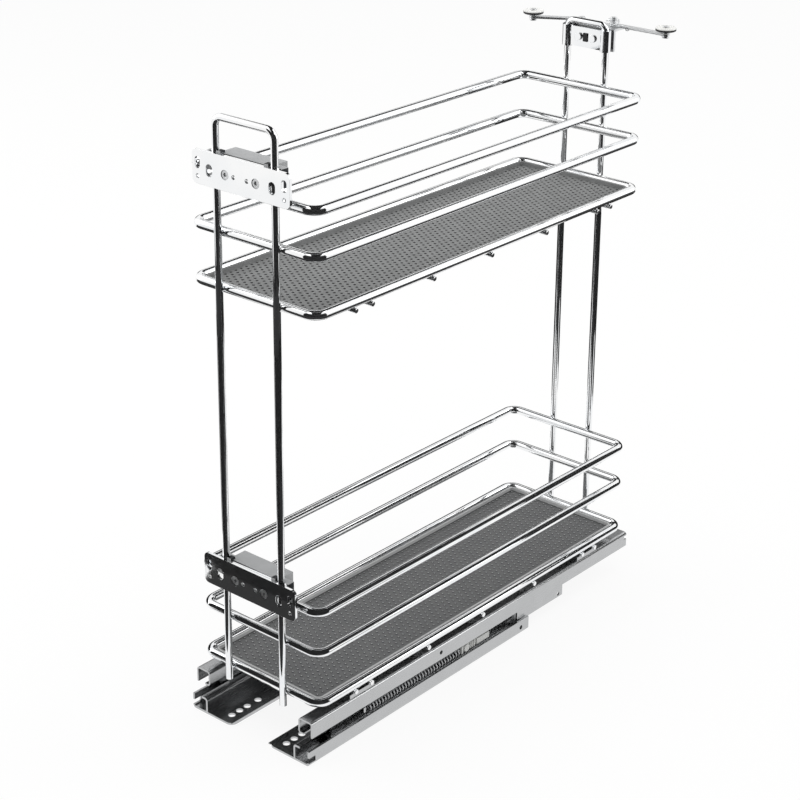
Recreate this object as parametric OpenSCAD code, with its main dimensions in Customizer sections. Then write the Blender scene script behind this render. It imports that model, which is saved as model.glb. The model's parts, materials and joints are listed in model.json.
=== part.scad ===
// Two-tier wire pull-out for a narrow base cabinet: two baskets welded between
// a front and a rear wire loop, carried on a pair of undermount ball runners.
// X is the width, the door side faces -Y, and Z is up. The origin is the centre
// of the four outer floor screws, on the underside of the runner flanges.

/* [Baskets] */
// Width between the centres of a basket's two long rails
basket_w = 104; // [98:1:112]
// Length between the centres of a basket's two short rails
basket_l = 336; // [300:4:380]
// Diameter of the rail wire
rail_d = 6.2; // [5:0.1:7]
// Corner radius of a rail, at the wire's centre
rail_r = 8; // [7:0.5:14]
// Height of the middle rail over the bottom rail
mid_rise = 37; // [30:1:44]
// Height of the top rail over the middle rail
top_rise = 29.4; // [24:0.2:36]
// Height of the upper basket over the lower basket
tier_rise = 269.5; // [240:0.5:300]
// Diameter of the wires under the floor mat
cross_d = 3.5; // [3:0.1:4]
// Distance from the basket's middle to the inner cross wire
cross_inner = 59.6; // [50:0.2:70]
// Distance from the basket's middle to the first wire of an end pair
cross_pair = 118.9; // [110:0.1:124]
// Spacing of the two wires of an end pair
cross_pitch = 15.4; // [13:0.2:18]

/* [Floor mats] */
// Thickness of a mat's floor
mat_t = 1.6; // [1:0.1:2]
// Height of a mat's raised rim over its underside
mat_rim_h = 4.4; // [3:0.1:6]
// Width of a mat's raised rim
mat_rim_w = 1.6; // [1.2:0.1:2.5]

/* [Wire loops] */
// Diameter of the loop wire
loop_d = 4.8; // [4:0.1:5.5]
// Distance of a front leg from the middle
front_leg_x = 24.8; // [22:0.2:27]
// Distance of a rear leg from the middle
rear_leg_x = 16.5; // [15:0.1:18]
// Bend radius of the front loop, at the wire's centre
front_bend_r = 6; // [5.5:0.5:10]
// Bend radius of the rear loop, at the wire's centre
rear_bend_r = 5.5; // [5:0.5:8]
// Height of both loops over the upper basket's top rail
loop_rise = 45.5; // [42:0.5:60]
// How far the front legs pass below the bottom rail's centre
front_foot = 8.5; // [6:0.5:9]
// How far the rear legs pass below the bottom rail's centre
rear_foot = 3; // [2:0.5:6]

/* [Runners] */
// Overall height of a runner
runner_h = 30.5; // [30:0.5:34]
// Length of the member screwed to the cabinet floor
cabinet_len = 234; // [214:2:250]
// Length of the middle member
middle_len = 250; // [240:2:260]
// Width across the channel of the cabinet member
channel_w = 14; // [13.8:0.1:15]
// Width of the cabinet member's screw flange, inside the channel
flange_w = 23; // [20:0.5:25]
// Sheet thickness of the cabinet member
cabinet_t = 1.5; // [1.2:0.1:1.6]
// Sheet thickness of the top member
top_t = 1.2; // [1:0.1:1.4]
// Thickness of the middle member's foot and head
middle_t = 1.5; // [1.2:0.1:1.6]
// Ball diameter
ball_d = 3.6; // [3.2:0.1:3.7]
// Diameter of a floor screw hole
flange_hole_d = 5; // [4:0.1:6]
// Spacing of the three close floor screw holes
flange_hole_pitch = 7.4; // [7:0.1:9]
// Full pull-out travel
travel = 300; // [240:10:300]

/* [Self-closing gear] */
// Outer diameter of the return spring
spring_od = 6; // [5:0.1:6.2]
// Wire diameter of the return spring
spring_wire = 0.9; // [0.7:0.1:1]
// Curls of one return spring
spring_curls = 33; // [28:1:40]
// Height of the closing slider
slider_h = 5.6; // [4.8:0.1:6]
// Stroke of the closing slider
slider_stroke = 32; // [20:1:32]

/* [Door brackets] */
// Width of a door plate
plate_w = 82; // [80:1:90]
// Height of a door plate
plate_h = 22; // [21:0.5:26]
// Sheet thickness of a door plate
plate_t = 2; // [1.5:0.1:3]
// Corner radius of a door plate
plate_r = 3.6; // [2:0.2:5]
// Distance of an outer slot from the middle
slot_outer_x = 36.4; // [35.5:0.1:37]
// Distance of an inner slot from the middle
slot_inner_x = 26.4; // [25.5:0.1:27.5]
// Distance of an adjuster from the middle
adjuster_x = 12.9; // [11:0.1:15]
// Diameter of an adjuster's hole in the plate
adjuster_d = 6.4; // [5.4:0.1:7]
// Distance of a small centre hole from the middle
pilot_x = 5.6; // [4.5:0.1:6]
// Diameter of the small door screw holes
pilot_d = 3; // [2.4:0.1:3.4]
// Height of the upper plate's hole line over the upper basket's top rail
upper_plate_rise = 11.5; // [11.5:0.1:14]
// Height of the lower plate's hole line over the lower basket's top rail
lower_plate_rise = 4.8; // [4.6:0.1:8]
// Depth of the housing behind a door plate
housing_depth = 16.5; // [12:0.5:18]

/* [Rear stabiliser] */
// Height of the clamp on the rear loop
clamp_h = 15.5; // [13:0.5:16]
// Distance of the clamp's top below the rear loop's top bar
clamp_drop = 3.4; // [3.2:0.1:4]
// Distance of a clamp screw from the middle
clamp_screw_x = 6.1; // [5:0.1:7.5]
// Distance of an arm's pivot from the middle
pivot_x = 14; // [13:0.5:15]
// Reach of the left arm from its pivot to its roller
left_reach = 35; // [34:1:46]
// Reach of the right arm from its pivot to its roller
right_reach = 44; // [38:1:50]
// Angle by which the left arm points forward at rest
left_angle = 31; // [0:1:40]
// Width of an arm
arm_w = 6; // [5:0.5:7]
// Thickness of an arm
arm_t = 1.5; // [1.2:0.1:2]
// Diameter of a guide roller
roller_d = 14.8; // [12:0.2:18]
// Thickness of a guide roller
roller_t = 2.6; // [2:0.1:3.5]

/* [Fits] */
// Gap left between wires that are welded to each other
weld_gap = 0.05; // [0.02:0.01:0.1]
// Side clearance of a ball between its two races
ball_play = 0.05; // [0.03:0.01:0.08]
// Gap between seated parts
seat_gap = 0.1; // [0.05:0.01:0.15]
// Running clearance between sliding sheet parts
slide_gap = 0.3; // [0.25:0.05:0.35]
// Radial clearance of a pin in a moving part
pin_play = 0.05; // [0.03:0.01:0.1]

/* [Hidden] */
$fn = 48;
cut = 1;                                   // overrun of a cutting tool

// Runner section, measured in x from the middle of the unit and in z from the floor
runner_out = (basket_w + rail_d) / 2 - 1.1;          // outer face of the cabinet member
web_x = runner_out - channel_w;                      // inner face of its channel
flange_x = web_x - flange_w;                         // inner edge of its flange
bend_r = 1;                                          // inner bend radius of the sheets
race_gap = ball_d + 2 * ball_play;
lip_w = 5.5;                                         // reach of the lips over the ball rows
foot_z = cabinet_t + race_gap;                       // underside of the middle member's foot
lip_z = foot_z + middle_t + race_gap;                // underside of the cabinet member's lip
wall_top = lip_z + cabinet_t - 0.9;                  // top edge of its outer wall
top_in = web_x + 1;                                  // inner face of the top member
top_out = runner_out - 0.8;                          // outer face of the top member
head_top = runner_h - top_t - race_gap;              // top of the middle member's head
rail_lip_z = head_top - middle_t - race_gap - top_t; // underside of the top member's lip
row_in = web_x + 4.2;                                // inner ball row
row_out = runner_out - 4.4;                          // outer ball row
mid_web_x = row_in + ball_d / 2 + slide_gap;         // inner face of the middle member's web
mid_web_t = 1.2;
skirt_t = 1.3;
skirt_out = top_out - top_t - slide_gap;             // outer face of the middle member's skirt
skirt_z = wall_top - 1.5;
shelf_z = rail_lip_z + top_t + 0.4;                  // shelf that carries the skirt
cage_t = 0.8;
cage_side_t = 0.6;

// Places along the unit
cabinet_front = -cabinet_len / 2;
top_set_back = 3.8;                                  // top member's front from the cabinet member's
top_front = cabinet_front + top_set_back;
basket_set_back = 12.3;                              // baskets' front rail from the same end
unit_y = cabinet_front + basket_set_back + basket_l / 2;  // middle of the baskets
top_over = 9.6;                                      // the top member passes the rails
top_len = unit_y - top_front + basket_l / 2 + top_over;
middle_set_back = 28;                                // middle member's front from the same end
middle_front = cabinet_front + middle_set_back;
flange_screw_end = 8.5;                              // outer floor screw from the sheet's end
flange_screw_in = 8.5;                               // and from the flange's inner edge
flange_screw_x = flange_x + flange_screw_in;
wall_hole_end = 9;                                   // hole in the cabinet member's wall, from its rear
foot_end = -cabinet_front - 1;                       // foot and lower web of the middle member
rail_hole_y = 131;                                   // small hole from the top member's front
rail_hole_drop = 5.8;                                // and from its top
spring_z = (wall_top + rail_lip_z) / 2;              // axis of the spring, between the two walls
anchor_reach = 29.6;                                 // spring's peg from the middle member's front
anchor_y = middle_front + anchor_reach;
anchor_t = 2;
slider_reach = 130.5;                                // closing slider from the middle member's front
slider_y = middle_front + slider_reach;
slider_len = 31.8;
slider_boss_y = 5.5;                                 // boss, ribs and tail from the slider's front
slider_rib_y = 10;
slider_tail_y = 17;
skirt_front = slider_y + slider_len + slider_stroke + 0.7;  // front edge of the middle member's skirt
slot_h = 3;                                          // slot of the web that guides the slider
spring_x = mid_web_x + mid_web_t + spring_od / 2 + 0.2;
lower_cage_len = 96;
upper_cage_len = 120;
lower_cage_y = -48.2;
upper_cage_y = 0;
ball_count = 5;

// Basket and loop places
bar_t = 2.8;
bar_w = 24;
floor_z = runner_h + bar_t + cross_d + rail_d / 2 + 3 * weld_gap;  // lower basket's bottom rail
pair_y = cross_pair + cross_pitch / 2;
cross_len = basket_w + rail_d - 1.2;
rail_out_y = basket_l / 2 + rail_d / 2;
leg_y = rail_out_y + weld_gap + loop_d / 2;          // loop wires, from the baskets' middle
top_rail_z = floor_z + tier_rise + mid_rise + top_rise;
loop_z = top_rail_z + loop_rise;
mat_gap = 0.5;
mat_half_w = (basket_w - rail_d) / 2 - mat_gap;
mat_half_l = (basket_l - rail_d) / 2 - mat_gap;
rivet_d = 3;
rivet_x = (row_in + row_out) / 2;

// Door bracket places, with y from the baskets' middle
plate_back = -(leg_y + loop_d / 2 + seat_gap);
plate_up = 0.8;                                      // plate's middle over its hole line
upper_plate_z = top_rail_z + upper_plate_rise;
lower_plate_z = floor_z + mid_rise + top_rise + lower_plate_rise;
housing_h = 12;
ear_w = 4;                                           // housing material beside a leg
screw_reach = 16;                                    // bore of a housing for an adjuster
lug_w = 3.6;                                         // lug on a housing, inside of each leg
lug_h = 1.6;
knob_d = 7.5;                                        // knob at a housing's left end
knob_over = 3;                                       // reach of the knob past the door plate
slot_outer_h = 7.6;
slot_outer_w = 4.2;
slot_outer_up = 3.4;
slot_inner_h = 8;
slot_inner_w = 5.4;
pilot_drop = 5.2;

// Stabiliser places, with y from the baskets' middle
clamp_t = 1.5;
clamp_face = 1.6;                                    // plate of the clamp, in front of the legs' centres
clamp_block_w = 3.6;                                 // small block on it, between the screws
clamp_block_h = 6;
pivot_set_back = 8;                                  // pivots behind the bracket's back plate
clamp_top = loop_z - clamp_drop;
bracket_t = 2;
bracket_y = leg_y + loop_d / 2 + seat_gap;           // front face of the bracket
bracket_half_w = rear_leg_x + loop_d / 2 + 2.6;
pivot_y = bracket_y + bracket_t + pivot_set_back;
shelf_top = clamp_top + 0.6;
pin_d = 3;
arm_z = shelf_top + seat_gap;
roller_gap = 1.8;                                    // free height between an arm and its roller
roller_z = arm_z + arm_t + roller_gap;
clamp_screw_z = clamp_top - clamp_h / 2 + 0.3;
screw_d = 3.4;

// Small shape helpers
module quarter_bend(r, d) rotate_extrude(angle = 90) translate([r, 0]) circle(d = d);

module bar_x(len, d) rotate([0, 90, 0]) cylinder(h = len, d = d, center = true);

module bar_y(len, d) rotate([90, 0, 0]) cylinder(h = len, d = d, center = true);

module mirrored() {
  children();
  mirror([1, 0, 0]) children();
}

// A rectangle drawn in x and z, from one corner to the other
module sheet(x0, z0, x1, z1) translate([x0, z0]) square([x1 - x0, z1 - z0]);

// Quarter of a bent sheet about x, z, turned counter-clockwise by a
module sheet_bend(x, z, a, t) translate([x, z]) rotate(a) intersection() {
  difference() {
    circle(r = bend_r + t);
    circle(r = bend_r);
  }
  square(bend_r + t + cut);
}

// A section drawn in x and z, drawn out along y
module along_y(y, len) translate([0, y + len, 0]) rotate([90, 0, 0]) linear_extrude(len) children();

module rounded_plate(w, h, t, r) rotate([90, 0, 0]) translate([0, 0, -t]) linear_extrude(t) {
  square([w - 2 * r, h], center = true);
  square([w, h - 2 * r], center = true);
  for (sx = [-1, 1], sz = [-1, 1]) translate([sx * (w / 2 - r), sz * (h / 2 - r)]) circle(r);
}

module hole_y(x, z, d, len) translate([x, 0, z]) rotate([90, 0, 0])
  cylinder(h = len, d = d, center = true);

// Upright slot through a plate
module slot_y(x, z, w, h, len) {
  for (s = [-1, 1]) hole_y(x, z + s * (h - w) / 2, w, len);
  translate([x - w / 2, -len / 2, z - (h - w) / 2]) cube([w, len, h - w]);
}

// Runner members, drawn for the right side
module cabinet_section() {
  bx = runner_out - cabinet_t - bend_r;
  lx = web_x + cabinet_t + bend_r;
  sheet(flange_x, 0, bx, cabinet_t);
  sheet_bend(bx, cabinet_t + bend_r, -90, cabinet_t);
  sheet(runner_out - cabinet_t, cabinet_t + bend_r, runner_out, wall_top);
  sheet(web_x, cabinet_t / 2, web_x + cabinet_t, lip_z - bend_r);
  sheet_bend(lx, lip_z - bend_r, 90, cabinet_t);
  sheet(lx, lip_z, web_x + lip_w, lip_z + cabinet_t);
  sheet(flange_x, cabinet_t / 2, flange_x + 2, cabinet_t + 0.8);
}

module cabinet_member() color("lightslategray") difference() {
  corner_r = 5;
  along_y(cabinet_front, cabinet_len) cabinet_section();
  for (end = [-1, 1]) {
    for (i = [0 : end < 0 ? 2 : 1]) {
      hole_y = cabinet_len / 2 - flange_screw_end - i * flange_hole_pitch;
      translate([flange_screw_x, end * hole_y, -cut]) cylinder(h = cabinet_t + 2 * cut, d = flange_hole_d);
    }
    translate([flange_x, end * cabinet_len / 2, -cut]) difference() {
      cube([2 * corner_r, 2 * corner_r, 4 * cut + cabinet_t], center = true);
      translate([corner_r, -end * corner_r, -3 * cut]) cylinder(h = 8 * cut + cabinet_t, r = corner_r);
    }
  }
  translate([flange_screw_x, cabinet_front + flange_screw_end + 3.4 * flange_hole_pitch, -cut])
    cylinder(h = cabinet_t + 2 * cut, d = flange_hole_d);
  translate([runner_out - cabinet_t - cut, cabinet_front - cut, cabinet_t + bend_r])
    cube([cabinet_t + 2 * cut, 6 + cut, 3.8]);
  translate([runner_out, cabinet_len / 2 - wall_hole_end, 5.4]) bar_x(4 * cabinet_t, 3.2);
}

module middle_section() {
  web_out = mid_web_x + mid_web_t;
  sheet(web_x + cabinet_t + 1.1, foot_z, runner_out - cabinet_t - 1.1, foot_z + middle_t);
  sheet(mid_web_x, foot_z, web_out, head_top);
  sheet(top_in + top_t + 1.1, head_top - middle_t, skirt_out - 0.3, head_top);
  sheet(web_out - 0.5, shelf_z, skirt_out, shelf_z + mid_web_t);
  sheet(skirt_out - skirt_t, skirt_z, skirt_out, shelf_z + mid_web_t);
}

module middle_member() color("gainsboro") {
  rear = middle_front + middle_len;
  slot_front = slider_y + 2 - slide_gap;
  difference() {
    along_y(middle_front, middle_len) middle_section();
    translate([skirt_out - skirt_t - cut / 2, middle_front - cut, skirt_z - cut])
      cube([skirt_t + cut, skirt_front - middle_front + cut, shelf_z - skirt_z + cut]);
    translate([web_x, foot_end, foot_z - cut])
      cube([runner_out - web_x, rear - foot_end + cut, skirt_z - foot_z + cut / 2]);
    translate([mid_web_x - cut, slot_front, spring_z - slot_h / 2])
      cube([mid_web_t + 2 * cut, skirt_front - slot_front, slot_h]);
    translate([skirt_out, rear - 5, skirt_z + 2.6]) bar_x(3 * skirt_t, 3);
  }
  translate([mid_web_x + mid_web_t / 2, anchor_y - anchor_t, spring_z - 1.8])
    cube([skirt_out + 0.3 - mid_web_x - mid_web_t / 2, anchor_t, 3.6]);
}

module top_section() {
  in_x = top_in + top_t + bend_r;
  out_x = top_out - top_t - bend_r;
  roof_z = runner_h - top_t - bend_r;
  lip_bend_z = rail_lip_z + top_t + bend_r;
  sheet(in_x, runner_h - top_t, out_x, runner_h);
  sheet_bend(in_x, roof_z, 90, top_t);
  sheet_bend(out_x, roof_z, 0, top_t);
  sheet(top_out - top_t, rail_lip_z, top_out, roof_z);
  sheet(top_in, lip_bend_z, top_in + top_t, roof_z);
  sheet_bend(in_x, lip_bend_z, 180, top_t);
  sheet(in_x, rail_lip_z, top_in + lip_w - 0.8, rail_lip_z + top_t);
}

module top_member() color("silver") difference() {
  along_y(top_front, top_len) top_section();
  for (s = [-1, 1]) translate([rivet_x, unit_y + s * pair_y, runner_h - top_t - cut])
    cylinder(h = top_t + 2 * cut, d = rivet_d + 2 * pin_play);
  translate([top_out, top_front + rail_hole_y, runner_h - rail_hole_drop]) bar_x(3 * top_t, 3);
  translate([top_out - top_t - cut, top_front + top_len - 3, runner_h - 5.5])
    cube([top_t + 2 * cut, 3 + cut, 3]);
}

// Ball rows of a stage: the two rows under the foot or over the head, and the lip's row
module stage_balls(y, len, wide_z, lip_row_z) color("whitesmoke") for (i = [0 : ball_count - 1]) {
  by = y + (i + 0.5) * len / ball_count;
  for (x = [row_in, row_out]) translate([x, by, wide_z]) sphere(d = ball_d);
  translate([row_in, by, lip_row_z]) sphere(d = ball_d);
}

// Cage of a stage: a strip round each ball row, joined past the end of the foot or head
module stage_cage(y, len, side_x, wide_z, lip_row_z) color("dimgray") difference() {
  low = min(wide_z, lip_row_z);
  high = max(wide_z, lip_row_z);
  along_y(y, len) {
    sheet(side_x, wide_z - cage_t / 2, row_out + ball_d / 2 + 0.4, wide_z + cage_t / 2);
    sheet(side_x, lip_row_z - cage_t / 2, row_in + 1.2, lip_row_z + cage_t / 2);
    sheet(side_x, low - cage_t / 2, side_x + cage_side_t, high + cage_t / 2);
  }
  for (i = [0 : ball_count - 1]) {
    by = y + (i + 0.5) * len / ball_count;
    translate([row_in, by, low - cut]) cylinder(h = high - low + 2 * cut, d = ball_d + 0.16);
    translate([row_out, by, wide_z - cut]) cylinder(h = 2 * cut, d = ball_d + 0.16);
  }
}

lower_wide_z = cabinet_t + race_gap / 2;
lower_lip_row_z = lip_z - race_gap / 2;
upper_wide_z = head_top + race_gap / 2;
upper_lip_row_z = head_top - middle_t - race_gap / 2;

module lower_cage() stage_cage(lower_cage_y, lower_cage_len, web_x + cabinet_t + 0.25,
  lower_wide_z, lower_lip_row_z);
module upper_cage() stage_cage(upper_cage_y, upper_cage_len, top_in + top_t + 0.25,
  upper_wide_z, upper_lip_row_z);
module lower_balls() stage_balls(lower_cage_y, lower_cage_len, lower_wide_z, lower_lip_row_z);
module upper_balls() stage_balls(upper_cage_y, upper_cage_len, upper_wide_z, upper_lip_row_z);

// A six-sided tube through points, closed at both ends
function unit3(v) = v / norm(v);
function ring_at(path, i, d) =
  let (last = len(path) - 1, a = path[max(i - 1, 0)], b = path[min(i + 1, last)],
    t = unit3(b - a), side = abs(t[2]) < 0.9 ? [0, 0, 1] : [0, 1, 0],
    u = unit3(cross(side, t)), v = cross(t, u))
  [for (k = [0 : 5]) path[i] + d / 2 * (cos(60 * k) * u + sin(60 * k) * v)];

module tube(path, d) {
  n = len(path);
  skin = [for (i = [0 : n - 2], k = [0 : 5]) let (a = 6 * i + k, b = 6 * i + (k + 1) % 6)
    each [[a, b, b + 6], [a, b + 6, a + 6]]];
  start = [for (k = [1 : 4]) [0, k + 1, k]];
  end = [for (k = [1 : 4]) [6 * n - 6, 6 * n - 6 + k, 6 * n - 6 + k + 1]];
  polyhedron([for (i = [0 : n - 1]) each ring_at(path, i, d)], concat(skin, start, end));
}

// Least gap between two points of a tube that are six or more steps apart
function self_gap(path, d) =
  min([for (i = [0 : len(path) - 7], j = [i + 6 : len(path) - 1]) norm(path[i] - path[j])]) - d;

// Coil along +z: straight ends on its axis, and curls that open out from it and close again
function coil_path(len, r, curls, d) =
  let (steps = 8 * curls, run = len - 2 * d)
  concat([[0, 0, 0]],
    [for (i = [0 : steps]) let (u = i / steps, a = 360 * curls * u,
      rr = r * min(1, 8 * curls * u / 6, 8 * curls * (1 - u) / 6))
      [rr * cos(a), rr * sin(a), d + run * u]],
    [[0, 0, len]]);

spring_len = slider_y - anchor_y - 2 * seat_gap;
spring_path = coil_path(spring_len, (spring_od - spring_wire) / 2, spring_curls, spring_wire);
echo(return_spring_self_gap = self_gap(spring_path, spring_wire));

module return_spring() color("silver")
  translate([spring_x, anchor_y + seat_gap, spring_z]) rotate([-90, 0, 0]) tube(spring_path, spring_wire);

// Slider that the spring pulls: a body with a boss, ribs and a tail, and a tongue through the web
module closing_slider() color("lightgray") {
  in_x = mid_web_x + mid_web_t + slide_gap;
  tongue_h = slot_h - 2 * slide_gap;
  flange_t = 1.4;
  back_x = mid_web_x - slide_gap - flange_t;
  slider_box(in_x, skirt_out - 0.4, 0, slider_len, slider_h);
  slider_box(back_x, in_x + cut, 2, slider_len - 2, tongue_h);
  slider_box(back_x, back_x + flange_t, 2, slider_len - 2, slider_h - 1);
  slider_box(in_x, skirt_out + 0.9, 0, 1.4, slider_h);
  translate([in_x, slider_y + slider_boss_y, spring_z]) rotate([0, 90, 0])
    cylinder(h = skirt_out + 1.2 - in_x, d = slider_h - 0.2);
  for (i = [0 : 2]) slider_box(in_x, skirt_out + 0.6, slider_rib_y + 2 * i, slider_rib_y + 2 * i + 1,
    slider_h - 0.6);
  slider_box(in_x, skirt_out + 0.8, slider_tail_y, slider_len - 0.8, slider_h - 1.2);
}

// Box of a slider, from x0 to x1 and from y0 to y1 behind its front face
module slider_box(x0, x1, y0, y1, h) translate([x0, slider_y + y0, spring_z - h / 2])
  cube([x1 - x0, y1 - y0, h]);

// Bars and rivets that fasten the baskets on the top members
module crossbar(s) color("silver") difference() {
  translate([-top_out + 1, unit_y + s * pair_y - bar_w / 2, runner_h + weld_gap])
    cube([2 * top_out - 2, bar_w, bar_t]);
  for (sx = [-1, 1]) translate([sx * rivet_x, unit_y + s * pair_y, runner_h - cut])
    cylinder(h = bar_t + 2 * cut, d = rivet_d + 2 * pin_play);
}

module crossbar_rivets() color("silver") for (sx = [-1, 1], s = [-1, 1])
  translate([sx * rivet_x, unit_y + s * pair_y, runner_h - top_t]) {
    head_z = top_t + bar_t + 2 * weld_gap;
    cylinder(h = head_z + 0.2, d = rivet_d);
    translate([0, 0, head_z]) cylinder(h = 1.2, d1 = 2 * rivet_d, d2 = 1.5 * rivet_d);
  }

// A basket rail: a wire bent to a rounded rectangle
module rail(z) color("whitesmoke") translate([0, unit_y, z]) {
  half_w = basket_w / 2;
  half_l = basket_l / 2;
  for (s = [-1, 1]) {
    translate([s * half_w, 0, 0]) bar_y(basket_l - 2 * rail_r, rail_d);
    translate([0, s * half_l, 0]) bar_x(basket_w - 2 * rail_r, rail_d);
  }
  for (i = [0 : 3]) rotate(90 * i) {
    turned = i % 2 == 1;
    translate([(turned ? half_l : half_w) - rail_r, (turned ? half_w : half_l) - rail_r, 0])
      quarter_bend(rail_r, rail_d);
  }
}

// Wires under a basket's bottom rail, in two end pairs with three between them
module cross_wires(z) color("whitesmoke") translate([0, unit_y, z - (rail_d + cross_d) / 2 - weld_gap]) {
  bar_x(cross_len, cross_d);
  for (s = [-1, 1], y = [cross_inner, cross_pair, cross_pair + cross_pitch])
    translate([0, s * y, 0]) bar_x(cross_len, cross_d);
}

// Tray with a raised rim that lies on the cross wires inside the bottom rail
module mat(z, tone) color(tone) {
  corner = rail_r - rail_d / 2 - mat_gap;
  translate([0, unit_y, z - rail_d / 2]) difference() {
    tray_block(mat_half_w, mat_half_l, corner, mat_rim_h);
    translate([0, 0, mat_t])
      tray_block(mat_half_w - mat_rim_w, mat_half_l - mat_rim_w, corner - mat_rim_w / 2, mat_rim_h);
  }
}

module tray_block(half_w, half_l, r, h) linear_extrude(h) {
  square([2 * half_w - 2 * r, 2 * half_l], center = true);
  square([2 * half_w, 2 * half_l - 2 * r], center = true);
  for (sx = [-1, 1], sy = [-1, 1]) translate([sx * (half_w - r), sy * (half_l - r)]) circle(r);
}

// A wire loop: two legs joined by a bent top bar
module loop(leg_x, r, foot_z, y, d = loop_d) translate([0, unit_y + y, 0]) {
  mirrored() {
    translate([leg_x, 0, foot_z]) cylinder(h = loop_z - r - foot_z, d = d);
    translate([leg_x - r, 0, loop_z - r]) rotate([90, 0, 0]) quarter_bend(r, d);
  }
  translate([0, 0, loop_z]) bar_x(2 * (leg_x - r), d);
}

module front_loop() color("whitesmoke") loop(front_leg_x, front_bend_r, floor_z - front_foot, -leg_y);
module rear_loop() color("whitesmoke") loop(rear_leg_x, rear_bend_r, floor_z - rear_foot, leg_y);

// Plate that the cabinet door is screwed to, pierced the same on both sides of its middle
module door_plate(z) color("lightsteelblue") translate([0, unit_y + plate_back - plate_t, z]) difference() {
  through = 4 * plate_t + 2 * cut;
  translate([0, 0, plate_up]) rounded_plate(plate_w, plate_h, plate_t, plate_r);
  for (s = [-1, 1]) {
    slot_y(s * slot_outer_x, slot_outer_up, slot_outer_w, slot_outer_h, through);
    hole_y(s * slot_outer_x, -pilot_drop, pilot_d, through);
    slot_y(s * slot_inner_x, 0, slot_inner_w, slot_inner_h, through);
    hole_y(s * adjuster_x, 0, adjuster_d, through);
    hole_y(s * pilot_x, 0, pilot_d, through);
  }
}

// Block behind a door plate, with a groove at each end that holds a leg against the plate
module housing(z) color("darkgray") {
  top = z + plate_up + plate_h / 2;
  back = unit_y + plate_back + seat_gap;
  half_w = front_leg_x + loop_d / 2 + ear_w;
  core = front_leg_x - loop_d / 2 - 0.6;
  lug_x = core - lug_w / 2;
  difference() {
    union() {
      translate([-core, back, top - housing_h]) cube([2 * core, housing_depth, housing_h]);
      translate([-half_w, back, top - housing_h]) cube([2 * half_w, loop_d + 2.6, housing_h]);
      for (s = [-1, 1]) translate([s * lug_x - lug_w / 2, back, top - cut]) cube([lug_w, 4, lug_h + cut]);
      translate([-plate_w / 2 - knob_over, back + knob_d / 2 + 0.4, z + 2]) rotate([0, 90, 0])
        cylinder(h = plate_w / 2 + knob_over - half_w + cut, d = knob_d);
    }
    for (s = [-1, 1]) translate([s * front_leg_x, unit_y - leg_y, top - housing_h - cut]) {
      cylinder(h = housing_h + 2 * cut, d = loop_d + 2 * seat_gap);
      translate([-loop_d / 2 - seat_gap, -loop_d - cut, 0])
        cube([loop_d + 2 * seat_gap, loop_d + cut, housing_h + 2 * cut]);
    }
    for (s = [-1, 1]) translate([0, back, 0])
      hole_y(s * adjuster_x, z, screw_d + 2 * pin_play, screw_reach);
  }
}

// Adjusters that pull a plate to its housing
module adjusters(z) color("gray") for (s = [-1, 1]) translate([s * adjuster_x, unit_y + plate_back, z]) {
  head_d = adjuster_d - 4 * pin_play;
  rotate([90, 0, 0]) difference() {
    translate([0, 0, -seat_gap / 2]) cylinder(h = plate_t - 0.3, d = head_d);
    translate([0, 0, plate_t - 1.2]) cylinder(h = 2, d = 0.45 * head_d, $fn = 6);
  }
  rotate([-90, 0, 0]) cylinder(h = 7, d = screw_d);
}

// Front half of the stabiliser's clamp: a plate between two cheeks round the legs of the rear loop
module stabiliser_clamp() color("slategray") difference() {
  in_r = loop_d / 2 + seat_gap;
  low = clamp_top - clamp_h;
  y = unit_y + leg_y;
  union() {
    for (s = [-1, 1]) translate([s * rear_leg_x, y, low]) cylinder(h = clamp_h, r = in_r + clamp_t);
    translate([-rear_leg_x, y - clamp_face, low + 0.6]) cube([2 * rear_leg_x, clamp_t, clamp_h - 1.2]);
    translate([-clamp_block_w / 2, y - clamp_face - 0.9, clamp_screw_z - clamp_block_h / 2])
      cube([clamp_block_w, 0.9 + clamp_t / 2, clamp_block_h]);
  }
  loop(rear_leg_x, rear_bend_r, low - cut, leg_y, 2 * in_r);
  translate([-2 * rear_leg_x, y + in_r - 1, low - cut])
    cube([4 * rear_leg_x, 4 * clamp_t, clamp_h + 2 * cut]);
  for (s = [-1, 1]) translate([s * clamp_screw_x, y, clamp_screw_z])
    hole_y(0, 0, screw_d + 2 * pin_play, 4 * in_r);
}

// Back plate of the clamp, folded over at the top to a shelf for the two pivots
module stabiliser_bracket() color("silver") difference() {
  low = clamp_top - clamp_h;
  depth = pivot_y + 5 - bracket_y;
  union() {
    translate([-bracket_half_w, unit_y + bracket_y, low])
      cube([2 * bracket_half_w, bracket_t, shelf_top - low]);
    translate([-bracket_half_w + 1, unit_y + bracket_y, shelf_top - bracket_t])
      cube([2 * bracket_half_w - 2, depth, bracket_t]);
  }
  for (s = [-1, 1]) {
    translate([0, unit_y + bracket_y, 0])
      hole_y(s * clamp_screw_x, clamp_screw_z, screw_d + 2 * pin_play, 4 * bracket_t);
    translate([s * pivot_x, unit_y + pivot_y, shelf_top - bracket_t - cut])
      cylinder(h = bracket_t + 2 * cut, d = pin_d + 2 * pin_play);
  }
}

// Two screws with their nuts, which draw the clamp and the bracket together
module clamp_screws() color("dimgray") for (s = [-1, 1]) {
  head_y = leg_y - clamp_face - seat_gap / 2;
  nut_y = bracket_y + bracket_t + seat_gap / 2;
  translate([s * clamp_screw_x, unit_y, clamp_screw_z]) rotate([-90, 0, 0]) {
    translate([0, 0, head_y - 1.4]) cylinder(h = 1.4, d = 5.6);
    translate([0, 0, head_y - 0.2]) cylinder(h = nut_y + 2.6 - head_y, d = screw_d);
    translate([0, 0, nut_y]) cylinder(h = 2.2, d = 6, $fn = 6);
  }
}

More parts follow.
